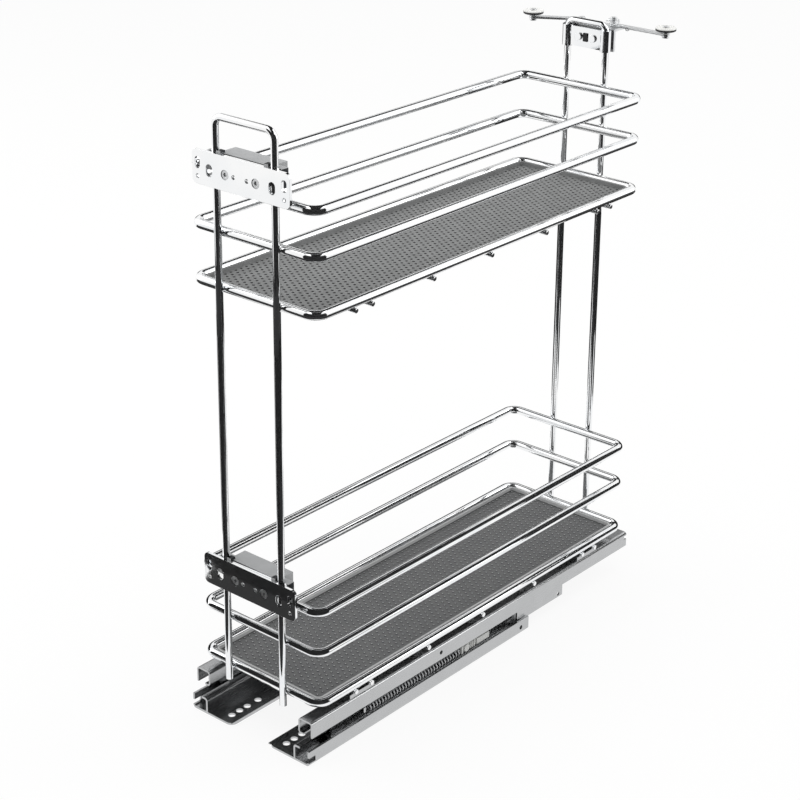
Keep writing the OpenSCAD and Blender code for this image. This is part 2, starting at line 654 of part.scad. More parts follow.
// Pin that an arm or a roller turns on: a shank with a head under it and a cap over it
module stepped_pin(z0, z1, head_d, head_t, cap_t) {
  translate([0, 0, z0 - head_t]) cylinder(h = head_t, d = head_d);
  translate([0, 0, z0 - 0.2]) cylinder(h = z1 - z0 + 0.4, d = pin_d);
  translate([0, 0, z1]) cylinder(h = cap_t, d = head_d - 0.4);
}

coil_h = 3.9;
module pivot_pin(s) color("gray") translate([s * pivot_x, unit_y + pivot_y, 0])
  stepped_pin(shelf_top - bracket_t - seat_gap, arm_z + arm_t + seat_gap + (s > 0 ? coil_h : 0), 5, 1.2, 0.8);

// Flat arm along +x from its pivot, with round ends and an eye for each pin
module arm(reach) translate([0, 0, arm_z]) difference() {
  union() {
    translate([0, -arm_w / 2, 0]) cube([reach, arm_w, arm_t]);
    for (x = [0, reach]) translate([x, 0, 0]) cylinder(h = arm_t, d = arm_w);
  }
  for (x = [0, reach]) translate([x, 0, -cut]) cylinder(h = arm_t + 2 * cut, d = pin_d + 2 * pin_play);
}

// Places a piece of an arm's own frame on the left or the right pivot
module on_left() translate([-pivot_x, unit_y + pivot_y, 0]) rotate(180 + left_angle) children();
module on_right() translate([pivot_x, unit_y + pivot_y, 0]) children();

module roller_pin(reach) color("gray") translate([reach, 0, 0]) {
  stepped_pin(arm_z - seat_gap, roller_z + roller_t + seat_gap, 5, 1.6, 0.6);
  translate([0, 0, arm_z + arm_t + seat_gap]) cylinder(h = roller_z - arm_z - arm_t - 2 * seat_gap, d = 5);
}

// Roller with a rounded groove round its rim and a dished top
module roller(reach) color("white") translate([reach, 0, roller_z]) difference() {
  cylinder(h = roller_t, d = roller_d);
  translate([0, 0, -cut]) cylinder(h = roller_t + 2 * cut, d = pin_d + 2 * pin_play);
  translate([0, 0, roller_t - 0.5]) difference() {
    cylinder(h = cut, d = roller_d - 2.4);
    translate([0, 0, -cut]) cylinder(h = 3 * cut, d = 7);
  }
}

// Torsion spring round the right pivot, with a leg that hooks under the arm
arm_coil_r = 4;
arm_wire = 0.8;
arm_curls = 2;
arm_hook_x = 13;
arm_spring_path = let (base = arm_z + arm_t + 0.25 + arm_wire / 2, steps = 8 * arm_curls,
    pitch = (coil_h - 0.5 - arm_wire) / arm_curls)
  concat([[-1.4, -arm_coil_r - 3.6, base + arm_curls * pitch],
      [-0.7, -arm_coil_r - 1.6, base + arm_curls * pitch]],
    [for (i = [0 : steps]) let (a = -90 - 360 * i / 8) [arm_coil_r * cos(a), arm_coil_r * sin(a),
      base + arm_curls * pitch * (1 - i / steps)]],
    [[2.6, -arm_coil_r - 0.2, base], [arm_hook_x - 1.4, -arm_w / 2 - 0.9, base],
     [arm_hook_x, -arm_w / 2 - 1, base - 0.6], [arm_hook_x + 0.4, -arm_w / 2 - 0.9, arm_z - 0.6],
     [arm_hook_x + 0.5, -arm_w / 2 + 0.4, arm_z - 0.9], [arm_hook_x + 0.5, 0, arm_z - 0.9]]);
echo(arm_spring_self_gap = self_gap(arm_spring_path, arm_wire));
module arm_spring() color("gray") on_right() tube(arm_spring_path, arm_wire);

mirror([1, 0, 0]) cabinet_member();  // left_cabinet_member
cabinet_member();  // right_cabinet_member
mirror([1, 0, 0]) middle_member();  // left_middle_member
middle_member();  // right_middle_member
mirror([1, 0, 0]) top_member();  // left_top_member
top_member();  // right_top_member
mirror([1, 0, 0]) lower_cage();  // left_lower_cage
lower_cage();  // right_lower_cage
mirror([1, 0, 0]) upper_cage();  // left_upper_cage
upper_cage();  // right_upper_cage
mirror([1, 0, 0]) lower_balls();  // left_lower_balls
lower_balls();  // right_lower_balls
mirror([1, 0, 0]) upper_balls();  // left_upper_balls
upper_balls();  // right_upper_balls
mirror([1, 0, 0]) return_spring();  // left_return_spring
return_spring();  // right_return_spring
mirror([1, 0, 0]) closing_slider();  // left_closing_slider
closing_slider();  // right_closing_slider
crossbar(-1);  // front_crossbar
crossbar(1);  // rear_crossbar
crossbar_rivets();
rail(floor_z);  // lower_bottom_rail
rail(floor_z + mid_rise);  // lower_middle_rail
rail(floor_z + mid_rise + top_rise);  // lower_top_rail
cross_wires(floor_z);  // lower_cross_wires
mat(floor_z, "dimgray");  // lower_mat
rail(floor_z + tier_rise);  // upper_bottom_rail
rail(floor_z + tier_rise + mid_rise);  // upper_middle_rail
rail(top_rail_z);  // upper_top_rail
cross_wires(floor_z + tier_rise);  // upper_cross_wires
mat(floor_z + tier_rise, "gray");  // upper_mat
front_loop();
rear_loop();
door_plate(upper_plate_z);  // upper_door_plate
housing(upper_plate_z);  // upper_housing
adjusters(upper_plate_z);  // upper_adjusters
door_plate(lower_plate_z);  // lower_door_plate
housing(lower_plate_z);  // lower_housing
adjusters(lower_plate_z);  // lower_adjusters
stabiliser_clamp();
stabiliser_bracket();
clamp_screws();
pivot_pin(-1);  // left_pivot_pin
pivot_pin(1);  // right_pivot_pin
color("silver") on_left() arm(left_reach);  // left_arm
color("silver") on_right() arm(right_reach);  // right_arm
arm_spring();
on_left() roller(left_reach);  // left_roller
on_right() roller(right_reach);  // right_roller
on_left() roller_pin(left_reach);  // left_roller_pin
on_right() roller_pin(right_reach);  // right_roller_pin
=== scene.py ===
# %% [markdown]
# # A pull-out larder unit, dressed in Blender
# The object is a narrow two-tier pull-out for a kitchen base cabinet. Two chrome wire
# baskets hang between a front and a rear wire loop and roll out on a pair of ball runners.
# The construction model already holds every part at its true size and place, so this
# script only gives the parts the finish of the real thing. It loads the model as a fixed
# frame, remodels the parts whose surface needs more than a construction solid shows, and
# gives each part a material, a floor, soft light and a camera.

# %% Load the frame
import json
import math
import bpy
from mathutils import Matrix, Vector

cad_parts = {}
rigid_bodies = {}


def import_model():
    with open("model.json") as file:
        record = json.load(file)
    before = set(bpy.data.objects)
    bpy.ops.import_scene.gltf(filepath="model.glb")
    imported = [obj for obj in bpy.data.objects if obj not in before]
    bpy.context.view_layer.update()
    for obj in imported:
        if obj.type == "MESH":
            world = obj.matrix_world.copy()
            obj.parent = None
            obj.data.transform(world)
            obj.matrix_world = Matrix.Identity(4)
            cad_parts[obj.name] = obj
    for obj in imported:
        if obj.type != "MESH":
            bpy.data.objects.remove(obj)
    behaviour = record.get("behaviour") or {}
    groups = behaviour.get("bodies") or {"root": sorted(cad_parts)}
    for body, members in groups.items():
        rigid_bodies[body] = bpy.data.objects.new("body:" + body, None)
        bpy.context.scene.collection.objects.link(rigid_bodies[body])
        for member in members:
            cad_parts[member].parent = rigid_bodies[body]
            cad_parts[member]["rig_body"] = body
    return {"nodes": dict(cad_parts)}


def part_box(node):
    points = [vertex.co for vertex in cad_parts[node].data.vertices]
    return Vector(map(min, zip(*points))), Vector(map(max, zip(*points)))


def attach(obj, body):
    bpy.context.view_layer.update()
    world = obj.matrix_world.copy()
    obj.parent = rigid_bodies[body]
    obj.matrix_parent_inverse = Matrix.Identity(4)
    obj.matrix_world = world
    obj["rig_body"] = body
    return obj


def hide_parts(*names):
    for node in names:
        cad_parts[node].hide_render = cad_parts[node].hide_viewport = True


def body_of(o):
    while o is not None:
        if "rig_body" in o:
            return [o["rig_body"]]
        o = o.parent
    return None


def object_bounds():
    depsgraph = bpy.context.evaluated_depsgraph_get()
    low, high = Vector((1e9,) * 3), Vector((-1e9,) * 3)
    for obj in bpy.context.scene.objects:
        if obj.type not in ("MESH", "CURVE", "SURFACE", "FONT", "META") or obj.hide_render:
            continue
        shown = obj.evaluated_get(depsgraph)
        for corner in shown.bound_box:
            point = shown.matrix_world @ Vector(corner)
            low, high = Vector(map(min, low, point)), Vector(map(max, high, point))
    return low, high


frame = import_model()
nodes = frame["nodes"]
cad_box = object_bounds()
print("nodes:", len(nodes), "box:", [round(v, 4) for corner in cad_box for v in corner])

# %% [markdown]
# ## Working in millimetres
# Blender's unit is the metre, but sheet metal and wire are bought in millimetres, so one
# short function turns one into the other. The next ones select objects, because every
# operator acts on whatever is selected, and loading leaves all the nodes selected. The last
# one opens edit mode with only those vertices, edges or faces selected that a rule names.

# %% Millimetres and selection
def mm(value):
    return value / 1000

def pick(*objects):
    if bpy.context.object and bpy.context.object.mode != "OBJECT":
        bpy.ops.object.mode_set(mode="OBJECT")
    bpy.ops.object.select_all(action="DESELECT")
    for obj in objects:
        obj.select_set(True)
    bpy.context.view_layer.objects.active = objects[0]
    return objects[0]

def deselect():
    bpy.ops.object.select_all(action="DESELECT")

def leave():
    bpy.ops.object.mode_set(mode="OBJECT")

def edit(kind="VERT", rule=None):
    # Opens the active mesh in edit mode with all selected, or only what the rule names
    mesh = bpy.context.object.data
    if rule:
        for items in (mesh.vertices, mesh.edges, mesh.polygons):
            items.foreach_set("select", [False] * len(items))
        for item in {"VERT": mesh.vertices, "EDGE": mesh.edges, "FACE": mesh.polygons}[kind]:
            item.select = bool(rule(item))
    bpy.ops.object.mode_set(mode="EDIT")
    bpy.ops.mesh.select_mode(type=kind)
    if not rule:
        bpy.ops.mesh.select_all(action="SELECT")

print("one millimetre is", mm(1), "m")

# %% [markdown]
# ## Colours and nodes
# Colours are written as the sRGB hex values that a colour picker shows. Light adds up in
# linear values, so one function turns a hex value to linear. A second one adds a shader
# node with its settings and its incoming links in one line, which keeps each material
# short enough to read as a recipe.

# %% Colour and node helpers
def linear(code):
    values = [int(code[i:i + 2], 16) / 255 for i in (1, 3, 5)]
    return [v / 12.92 if v <= 0.04045 else ((v + 0.055) / 1.055) ** 2.4 for v in values] + [1]

def add(tree, kind, settings={}, links={}):
    node = tree.nodes.new(kind)
    for name, value in settings.items():
        if hasattr(node, name):
            setattr(node, name, value)
        else:
            node.inputs[name].default_value = value
    for name, source in links.items():
        tree.links.new(source, node.inputs[name])
    return node

def blank(name, colour, metallic, roughness):
    material = bpy.data.materials.new(name)
    material.use_nodes = True
    shader = material.node_tree.nodes["Principled BSDF"]
    shader.inputs["Base Color"].default_value = linear(colour)
    shader.inputs["Metallic"].default_value = metallic
    shader.inputs["Roughness"].default_value = roughness
    place = add(material.node_tree, "ShaderNodeTexCoord").outputs["Object"]
    return material, material.node_tree, shader, place

print("mid grey is", round(linear("#808080")[0], 3), "in linear light")

# %% [markdown]
# ## Shades, grain and streaks
# Three things make a surface read as real: its colour wanders a little, its gloss wanders
# a little, and it isn't perfectly smooth. The helpers below add each of them to a material
# from a noise of a given size in millimetres. Stretching the space that the noise reads
# turns blots into the long streaks that rolling and brushing leave.

# %% Pattern helpers
def stretched(tree, place, x, y, z):
    return add(tree, "ShaderNodeMapping", {"Scale": (x, y, z)}, {"Vector": place}).outputs["Vector"]

def noise(tree, place, size, detail=2):
    node = add(tree, "ShaderNodeTexNoise", {"Scale": 1 / mm(size), "Detail": detail},
               {"Vector": place})
    return node.outputs["Fac"]

def between(tree, value, low, high):
    # A noise seldom leaves the span from 0.3 to 0.7, so that span is stretched to the limits
    node = add(tree, "ShaderNodeMapRange", {"From Min": 0.3, "From Max": 0.7,
                                            "To Min": low, "To Max": high}, {"Value": value})
    return node.outputs["Result"]

def tinted(tree, shader, value, first, second):
    # A Mix node takes its two colours at inputs 6 and 7 and gives a colour at output 2
    node = add(tree, "ShaderNodeMix", {"data_type": "RGBA"})
    tree.links.new(between(tree, value, 0, 1), node.inputs[0])
    for socket, code in ((6, first), (7, second)):
        node.inputs[socket].default_value = linear(code)
    tree.links.new(node.outputs[2], shader.inputs["Base Color"])
    return node.outputs[2]

def dented(tree, shader, height, depth, strength=1.0):
    node = add(tree, "ShaderNodeBump", {"Strength": strength, "Distance": mm(depth)},
               {"Height": height})
    tree.links.new(node.outputs["Normal"], shader.inputs["Normal"])

print("pattern helpers ready")

# %% [markdown]
# ## Bright chrome on wire and plate
# The wires and the door plates are steel with bright nickel and chrome plate. The plating
# copies the room like a mirror, so its colour is nearly white and its roughness very low.
# What keeps it from looking like liquid is that the drawn wire under it is never quite
# even: a faint wave some 14 mm long bends the reflections, and the gloss has a slight
# cloud. The stamped plates are flatter, with a longer and shallower wave. The wave's
# length and depth are in millimetres.

# %% Chrome
def chrome(name, wave, depth):
    material, tree, shader, place = blank(name, "#F4F5F6", 1.0, 0.05)
    tinted(tree, shader, noise(tree, place, 30), "#EEF0F2", "#F8F8F8")
    gloss = between(tree, noise(tree, place, 9, 3), 0.035, 0.07)
    tree.links.new(gloss, shader.inputs["Roughness"])
    dented(tree, shader, noise(tree, place, wave, 1), depth)
    return material

wire_chrome = chrome("bright_chrome_on_drawn_wire", 14, 0.02)
plate_chrome = chrome("bright_chrome_on_stamped_plate", 22, 0.006)
print(wire_chrome.name, plate_chrome.name)

# %% [markdown]
# ## Zinc-plated sheet
# The runners are rolled from zinc-plated steel strip. Zinc is a soft grey with a satin
# gloss. It keeps the long streaks of the rolling mill, here drawn very faintly along the
# runner, and its shade shifts in clouds about a centimetre across. The other steels of the
# unit follow the same recipe with another colour and another gloss. The last two numbers
# of each are the size of its clouds and the width of its streaks in millimetres. The
# streaks are drawn broader than real ones, which are too fine to show here.

# %% Sheet and small steels
# A streak is 25 times as long as it is wide, and its depth is in millimetres
streak_stretch = 0.04
streak_depth = 0.0002

def steel(name, first, second, rough_low, rough_high, cloud, streak):
    material, tree, shader, place = blank(name, first, 1.0, rough_low)
    lengthwise = stretched(tree, place, 1, streak_stretch, 1)
    rolled = noise(tree, lengthwise, streak, 4)
    clouds = noise(tree, place, cloud, 3)
    tinted(tree, shader, clouds, first, second)
    tree.links.new(between(tree, rolled, rough_low, rough_high), shader.inputs["Roughness"])
    dented(tree, shader, rolled, streak_depth)
    return material

zinc = steel("zinc_plated_rolled_sheet", "#BBBCBD", "#BFC0C1", 0.265, 0.275, 14, 0.5)
bright_steel = steel("nickel_plated_steel", "#D6D8D9", "#E2E3E4", 0.3, 0.4, 7, 0.7)
dark_steel = steel("black_passivated_steel", "#3A3B3D", "#505254", 0.3, 0.42, 4, 0.9)
spring_steel = steel("drawn_spring_wire", "#DADCDD", "#E6E7E8", 0.45, 0.55, 3, 0.5)
ball_steel = steel("polished_bearing_steel", "#D4D6D8", "#E2E3E4", 0.06, 0.1, 6, 1.2)
print([m.name for m in (zinc, bright_steel, dark_steel, spring_steel, ball_steel)])

# %% [markdown]
# ## Moulded plastic
# The housings behind the door plates, the rollers, the ball cages and the closing sliders
# are injection moulded. A mould that was spark eroded leaves a fine pebbled grain, and the
# melt leaves slow shifts in shade. The real grain is too fine to show here, so it is drawn
# 0.5 to 0.7 mm wide. Nylon and acetal have an index of refraction near 1.5. The soft black
# tread of the rollers is made by the same recipe.

# %% Plastics
def moulded(name, first, second, rough, grain):
    material, tree, shader, place = blank(name, first, 0.0, rough)
    shader.inputs["IOR"].default_value = 1.5
    tinted(tree, shader, noise(tree, place, 12, 3), first, second)
    gloss = between(tree, noise(tree, place, 4), rough - 0.05, rough + 0.06)
    tree.links.new(gloss, shader.inputs["Roughness"])
    dented(tree, shader, noise(tree, place, grain, 2), 0.05, 0.5)
    return material

housing_nylon = moulded("moulded_grey_nylon", "#A9ABAC", "#B3B4B5", 0.42, 0.7)
roller_acetal = moulded("moulded_white_acetal", "#E3E3E0", "#EDEDEB", 0.3, 0.6)
slider_acetal = moulded("moulded_grey_acetal", "#BFC0BE", "#C9CAC8", 0.35, 0.6)
cage_nylon = moulded("moulded_dark_nylon", "#2C2D2E", "#37383A", 0.45, 0.7)
tyre_rubber = moulded("black_soft_tyre", "#1D1E1F", "#29292B", 0.6, 0.5)
print(housing_nylon.name, roller_acetal.name)

# %% [markdown]
# ## Soft mat with pits or pips
# Each basket has a loose mat of grey soft PVC that keeps jars from sliding. The upper one
# lies with its pitted face up and the lower one with its pips up. Light and shade are
# painted from the height in the mesh: the colour darkens away from the mat's flat top as
# painted shade in the pits and round the pips, the crown of a pip is painted lighter as a
# painted highlight, and the bottom of a pit is painted dark. The relief counts up for pips
# and down for pits. Two noises add a slow shift in shade and the grain of the mould, which is
# drawn coarser than it is, so that it can show.

# %% Mat materials
def soft_pvc(name, first, second, shadow, painted_tip_tone, top, relief):
    material, tree, shader, place = blank(name, first, 0.0, 0.6)
    shader.inputs["IOR"].default_value = 1.52
    shade = tinted(tree, shader, noise(tree, place, 9, 4), first, second)
    height = add(tree, "ShaderNodeSeparateXYZ", {}, {"Vector": place}).outputs["Z"]
    # Painted shade from 4 to 45 per cent of the relief, then a painted highlight on a pip's crown
    # or painted shade at a pit's bottom from 75 to 95 per cent
    for code, start, end in ((shadow, 0.04, 0.45), (painted_tip_tone, 0.75, 0.95)):
        span = {"From Min": top + mm(relief * start), "From Max": top + mm(relief * end)}
        share = add(tree, "ShaderNodeMapRange", span, {"Value": height})
        mix = add(tree, "ShaderNodeMix", {"data_type": "RGBA"})
        tree.links.new(share.outputs["Result"], mix.inputs[0])
        tree.links.new(shade, mix.inputs[6])
        mix.inputs[7].default_value = linear(code)
        shade = mix.outputs[2]
    tree.links.new(shade, shader.inputs["Base Color"])
    dented(tree, shader, noise(tree, place, 0.5, 2), 0.05, 0.6)
    return material

mat_floor = mm(1.6)
pip_height = 0.5
pit_depth = 0.7
mat_top = {name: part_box(name)[0].z + mat_floor for name in ("lower_mat", "upper_mat")}
# Per mat: two base shades, the painted shade, then the painted tip tone, which is a painted
# highlight on the lower mat's pip crowns and painted shade at the upper mat's pit bottoms
mat_finish = {"lower_mat": soft_pvc("soft_pvc_lower", "#68696A", "#707171", "#1C1D1E", "#C2C3C3",
                                    mat_top["lower_mat"], pip_height),
              "upper_mat": soft_pvc("soft_pvc_upper", "#7C7D7D", "#868787", "#101011", "#101011",
                                    mat_top["upper_mat"], -pit_depth)}
print({name: round(z, 5) for name, z in mat_top.items()})

# %% [markdown]
# ## A new piece in place of a node
# Each new piece stands for one node of the frame. It takes the node's body, so that it
# moves as the node does, and the material that it is given. This helper also fixes the
# piece at the origin with its place in its mesh.

# %% Standing in for a node
def paint(obj, material):
    obj.data.materials.clear()
    obj.data.materials.append(material)
    return obj

def stand_in(obj, node, material=None, hide=True):
    if material:
        paint(obj, material)
    pick(obj)
    bpy.ops.object.transform_apply(location=True, rotation=True, scale=True)
    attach(obj, body_of(nodes[node])[0])
    if hide:
        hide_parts(node)
    return obj

def triangles(obj):
    return sum(len(face.vertices) - 2 for face in obj.data.polygons)

# %% [markdown]
# ## Bent wire
# A basket rail is one length of 6.2 mm wire, bent to a rounded rectangle and butt welded. To
# model it, a plane of the rail's size gets its four corners rounded by a vertex bevel. Its
# face is deleted, which leaves the wire's centre line, and a curve with a round bevel turns
# that line into a tube of 22 sides. The tube's size and place come from the node's own
# box.

# %% Wire from a centre line
tube_resolution = 9
bend_segments = 10

def tube_from(obj, thick, name):
    bpy.ops.object.convert(target="CURVE")
    curve = bpy.context.object.data
    curve.dimensions = "3D"
    curve.bevel_depth = thick / 2
    curve.bevel_resolution = tube_resolution
    curve.use_fill_caps = True
    bpy.ops.object.convert(target="MESH")
    wire = bpy.context.object
    wire.name = name
    edit()
    bpy.ops.mesh.remove_doubles(threshold=mm(0.01))
    bpy.ops.mesh.normals_make_consistent(inside=False)
    leave()
    bpy.ops.object.shade_smooth_by_angle(angle=math.radians(50))
    return wire

def bent_rail(node, name, corner):
    low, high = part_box(node)
    thick = high.z - low.z
    deselect()
    bpy.ops.mesh.primitive_plane_add(size=1, location=(low + high) / 2)
    line = bpy.context.object
    line.scale = (high.x - low.x - thick, high.y - low.y - thick, 1)
    bpy.ops.object.transform_apply(location=True, rotation=True, scale=True)
    edit()
    bpy.ops.mesh.bevel(offset=corner, segments=bend_segments, affect="VERTICES")
    bpy.ops.mesh.delete(type="ONLY_FACE")
    leave()
    return stand_in(tube_from(line, thick, name), node, wire_chrome)

# %% The six rails
rail_corner = mm(8)
for tier in ("lower", "upper"):
    for level in ("bottom", "middle", "top"):
        rail = bent_rail(f"{tier}_{level}_rail", f"{tier}_{level}_rail_wire", rail_corner)
        print(rail.name, "triangles:", triangles(rail))

# %% [markdown]
# ## The two loops
# Each loop is one wire bent to an upside-down U that the baskets are welded to. The plane
# stands upright here. Only its two upper corners are rounded, its lower edge is deleted,
# and the open line becomes a tube with closed ends.

# %% Front and rear loop
def bent_loop(node, name, thick, bend):
    low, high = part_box(node)
    top = high.z - thick / 2
    middle = Vector(((low.x + high.x) / 2, (low.y + high.y) / 2, (low.z + top) / 2))
    deselect()
    bpy.ops.mesh.primitive_plane_add(size=1, location=middle, rotation=(math.pi / 2, 0, 0))
    line = bpy.context.object
    line.scale = (high.x - low.x - thick, top - low.z, 1)
    bpy.ops.object.transform_apply(location=True, rotation=True, scale=True)
    edit("VERT", lambda vert: vert.co.z > middle.z)
    bpy.ops.mesh.bevel(offset=bend, segments=bend_segments, affect="VERTICES")
    bpy.ops.mesh.select_all(action="SELECT")
    bpy.ops.mesh.delete(type="ONLY_FACE")
    leave()
    points = line.data.vertices
    edit("EDGE", lambda edge: all(abs(points[i].co.z - low.z) < mm(0.1) for i in edge.vertices))
    bpy.ops.mesh.delete(type="EDGE")
    leave()
    return stand_in(tube_from(line, thick, name), node, wire_chrome)

loop_wire = mm(4.8)
front_loop = bent_loop("front_loop", "front_loop_wire", loop_wire, mm(6))
rear_loop = bent_loop("rear_loop", "rear_loop_wire", loop_wire, mm(5.5))
print(front_loop.name, triangles(front_loop), rear_loop.name, triangles(rear_loop))

# %% [markdown]
# ## The wires under the mats
# Seven straight 3.5 mm wires carry each mat. They are cropped from coil, so their ends are
# flat with a worn edge: a cylinder with its end edges bevelled. One is modelled and copied
# to the seven places, which are measured from the basket's middle.

# %% Cross wires
cross_places = [-134.3, -118.9, -59.6, 0, 59.6, 118.9, 134.3]

def bevel_edges(name, width, angle):
    # Rounds those edges of the active object that turn by more than the angle
    obj = bpy.context.object
    bevel = obj.modifiers.new(name, "BEVEL")
    bevel.width = mm(width)
    bevel.segments = 2
    bevel.limit_method = "ANGLE"
    bevel.angle_limit = math.radians(angle)
    bpy.ops.object.modifier_apply(modifier=bevel.name)

def cropped_wires(node, name):
    low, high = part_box(node)
    thick = high.z - low.z
    middle = (low + high) / 2
    deselect()
    bpy.ops.mesh.primitive_cylinder_add(vertices=20, radius=thick / 2, depth=high.x - low.x,
                                        location=middle, rotation=(0, math.pi / 2, 0))
    first = bpy.context.object
    bevel_edges("worn_ends", 0.45, 50)
    copies = [first]
    for place in cross_places:
        if place != 0:
            pick(first)
            bpy.ops.object.duplicate(linked=False)
            bpy.context.object.location.y = middle.y + mm(place)
            copies.append(bpy.context.object)
    pick(*copies)
    bpy.ops.object.join()
    wires = bpy.context.object
    wires.name = name
    bpy.ops.object.shade_smooth_by_angle(angle=math.radians(40))
    return stand_in(wires, node, wire_chrome)

for tier in ("lower", "upper"):
    wires = cropped_wires(f"{tier}_cross_wires", f"{tier}_cross_wires_cropped")
    print(wires.name, triangles(wires))

# %% [markdown]
# ## Weld nuggets
# Where two wires cross, resistance welding squeezes them together, and a little melted
# steel swells out of the joint before the chrome goes on. Each nugget is a small sphere
# pressed flat along the line between the two wires. Each has only sixty faces, because
# there are about fifty of them, and all of them are one piece on the pull-out.

# %% Nuggets at the crossings
def nugget(place, size):
    deselect()
    bpy.ops.mesh.primitive_uv_sphere_add(segments=10, ring_count=6, radius=0.5, location=place)
    bead = bpy.context.object
    bead.scale = size
    bpy.ops.object.transform_apply(location=False, rotation=False, scale=True)
    return bead

rail_radius = mm(3.1)
leg_bead = (mm(4.2), mm(2.4), mm(3.6))
cross_bead = (mm(2.6), mm(2.4), mm(1.2))
beads = []
for loop in ("front_loop", "rear_loop"):
    low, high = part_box(loop)
    for level in ("bottom", "middle", "top"):
        for tier in ("lower", "upper"):
            rail_low, rail_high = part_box(f"{tier}_{level}_rail")
            y = rail_low.y if loop == "front_loop" else rail_high.y
            for x in (low.x + loop_wire / 2, high.x - loop_wire / 2):
                beads.append(nugget((x, y, (rail_low.z + rail_high.z) / 2), leg_bead))
for tier in ("lower", "upper"):
    wire_low, wire_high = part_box(f"{tier}_cross_wires")
    rail_low, rail_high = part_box(f"{tier}_bottom_rail")
    middle_y = (wire_low.y + wire_high.y) / 2
    for place in cross_places:
        for x in (rail_low.x + rail_radius, rail_high.x - rail_radius):
            beads.append(nugget((x, middle_y + mm(place), wire_high.z), cross_bead))
pick(*beads)
bpy.ops.object.join()
welds = bpy.context.object
welds.name = "weld_nuggets"
bpy.ops.object.shade_smooth()
stand_in(welds, "lower_top_rail", wire_chrome, hide=False)
print("nuggets:", len(beads), "triangles:", triangles(welds))

# %% [markdown]
# ## The mats
# A mat is a shallow tray: a floor, a raised rim, and rounded corners. The tray starts as a
# plane with bevelled corners, which is drawn up and inset to leave the rim. Its top face
# would need some 1700 pits, so a small tile with two pits is modelled once, repeated by two
# array modifiers, and trimmed to the rim. The tile's two pits are staggered by half a step.
# Each pit starts as an oblong that an inset leaves; it is pressed to a square, its corners
# are cut to an octagon, and two more insets draw it down. For the lower mat they draw it
# up to a pip. The tray's own floor lies just under the deepest pits.

# %% One tile of pits or pips
step_x = mm(3.9)
step_y = mm(4.75)
octagon_cut = 0.29
crown_inset = mm(0.15)

def relief_tile(across, shoulder, relief):
    deselect()
    bpy.ops.mesh.primitive_grid_add(x_subdivisions=2, y_subdivisions=2, size=1)
    tile = bpy.context.object
    tile.scale = (2 * step_x, step_y, 1)
    bpy.ops.object.transform_apply(location=True, rotation=True, scale=True)
    edit("FACE", lambda face: face.center.x * face.center.y > 0)
    gap = (step_y / 2 - across) / 2
    bpy.ops.mesh.inset(thickness=gap, use_individual=True)
    leave()
    centres = [Vector((side * step_x / 2, side * step_y / 4, 0)) for side in (1, -1)]

    def at_centre(face):
        return min((face.center - centre).length for centre in centres) < mm(0.1)
    for centre in centres:
        edit("FACE", lambda face: (face.center - centre).length < mm(0.1))
        bpy.ops.transform.resize(value=(across / (step_x - 2 * gap), 1, 1), center_override=centre)
        leave()
    corners = {index for face in tile.data.polygons if at_centre(face) for index in face.vertices}
    edit("VERT", lambda vert: vert.index in corners)
    bpy.ops.mesh.bevel(offset=across * octagon_cut, segments=1, affect="VERTICES")
    leave()
    edit("FACE", at_centre)
    bpy.ops.mesh.inset(thickness=shoulder, depth=relief * 0.7, use_individual=True)
    bpy.ops.mesh.inset(thickness=crown_inset, depth=relief * 0.3, use_individual=True)
    leave()
    return tile

tiles = {"lower_mat": relief_tile(mm(2.0), mm(0.45), mm(pip_height)),
         "upper_mat": relief_tile(mm(1.95), mm(0.12), -mm(pit_depth))}
for node, tile in tiles.items():
    heights = [round(vert.co.z * 1000, 2) for vert in tile.data.vertices]
    print(node, "tile triangles:", triangles(tile), "from", min(heights), "to", max(heights), "mm")

# %% A sheet of pits
def relief_sheet(tile, low, high, height, margin):
    pick(tile)
    bpy.ops.object.duplicate(linked=False)
    sheet = bpy.context.object
    columns = math.ceil((high.x - low.x) / (2 * step_x)) + 1
    rows = math.ceil((high.y - low.y) / step_y) + 1
    for count, step in ((columns, (2 * step_x, 0, 0)), (rows, (0, step_y, 0))):
        array = sheet.modifiers.new("repeat", "ARRAY")
        array.count = count
        array.use_relative_offset = False
        array.use_constant_offset = True
        array.constant_offset_displace = step
        array.use_merge_vertices = True
        array.merge_threshold = mm(0.02)
        bpy.ops.object.modifier_apply(modifier=array.name)
    middle = (low + high) / 2
    sheet.location = (middle.x - (columns - 1) * step_x,
                      middle.y - (rows - 1) * step_y / 2, height)
    bpy.ops.object.transform_apply(location=True, rotation=True, scale=True)
    for axis in (0, 1):
        for place, side in ((low[axis] + margin, -1), (high[axis] - margin, 1)):
            point, normal = [0, 0, 0], [0, 0, 0]
            point[axis], normal[axis] = place, side
            edit()
            bpy.ops.mesh.bisect(plane_co=point, plane_no=normal, clear_outer=True)
            leave()
    return sheet

print("columns", step_x, "m apart, with a pit every", step_y, "m in each")

# %% A tray with a raised rim
def rimmed_tray(low, high, corner, rim, floor):
    deselect()
    centre = ((low.x + high.x) / 2, (low.y + high.y) / 2, low.z)
    bpy.ops.mesh.primitive_plane_add(size=1, location=centre)
    tray = bpy.context.object
    tray.scale = (high.x - low.x, high.y - low.y, 1)
    bpy.ops.object.transform_apply(location=True, rotation=True, scale=True)
    edit()
    bpy.ops.mesh.bevel(offset=corner, segments=6, affect="VERTICES")
    bpy.ops.mesh.select_mode(type="FACE")
    bpy.ops.mesh.select_all(action="SELECT")
    rise = high.z - low.z
    sink = low.z + floor - high.z
    bpy.ops.mesh.extrude_region_move(TRANSFORM_OT_translate={"value": (0, 0, rise)})
    bpy.ops.mesh.inset(thickness=rim)
    bpy.ops.mesh.extrude_region_move(TRANSFORM_OT_translate={"value": (0, 0, sink)})
    bpy.ops.mesh.select_all(action="SELECT")
    bpy.ops.mesh.normals_make_consistent(inside=False)
    leave()
    bevel_edges("soft_edges", 0.4, 50)
    return tray

print("tray helper ready")

